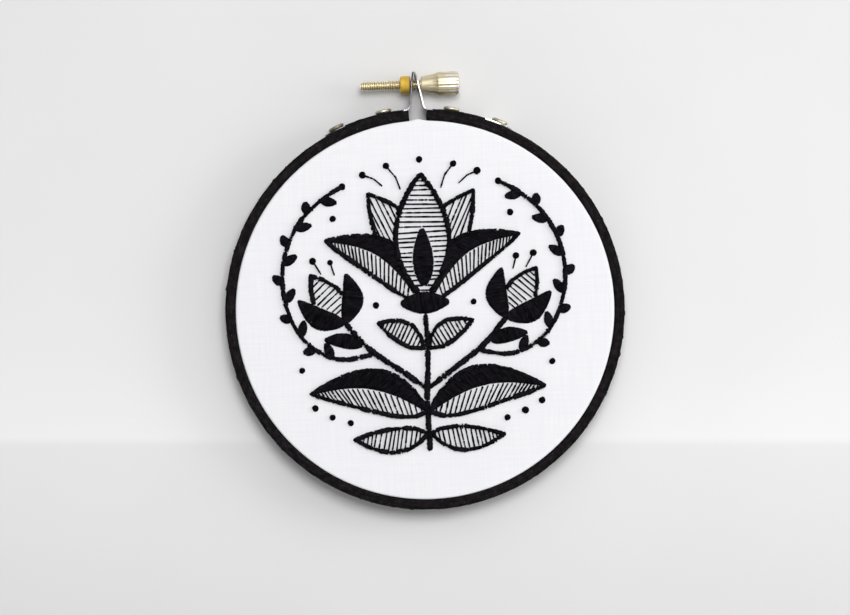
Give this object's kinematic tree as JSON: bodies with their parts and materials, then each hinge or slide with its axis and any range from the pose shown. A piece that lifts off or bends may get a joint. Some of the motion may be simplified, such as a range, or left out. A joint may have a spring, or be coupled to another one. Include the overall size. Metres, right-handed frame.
{
  "type": "hoop embroidery art, embroidered cloth in an embroidery hoop",
  "caption": "Hoop embroidery art: white cotton stitched in black, held drum-tight in a black-painted wooden hoop with a screw clamp at its top.",
  "frame": {"origin": "under the middle of the whole outline, on the surface that the backs of the hoops rest on", "axes": "+Z out of the cloth's face, +Y from the hoop's middle to its screw clamp, +X to the right seen from the face"},
  "size_m": [0.11, 0.121, 0.0091],
  "materials": {
    "painted_wood": "matt black brushed paint",
    "bare_wood": "sanded, bare",
    "cotton": "plain weave, pressed",
    "black_thread": "twisted cotton thread",
    "plated_steel": "nickel plated, lightly brushed",
    "brass": "turned, bright",
    "pale_brass": "thinly nickel plated"
  },
  "bodies": {
    "root": {"outer_hoop": "painted_wood", "inner_hoop": "bare_wood", "cloth": "cotton", "clamp_plate_left": "plated_steel", "clamp_plate_right": "plated_steel", "rivet_left_near": "pale_brass", "rivet_left_far": "pale_brass", "rivet_right_near": "pale_brass", "rivet_right_far": "pale_brass", "clamp_nut": "brass"},
    "screw": {"clamp_screw": "pale_brass"}
  },
  "joints": [
    {"name": "screw_turn", "type": "hinge", "parent": "root", "child": "screw", "pos_m": [0, 0.05679, 0.0045], "axis": [1, 0, 0], "range_deg": [0, 540]}
  ]
}
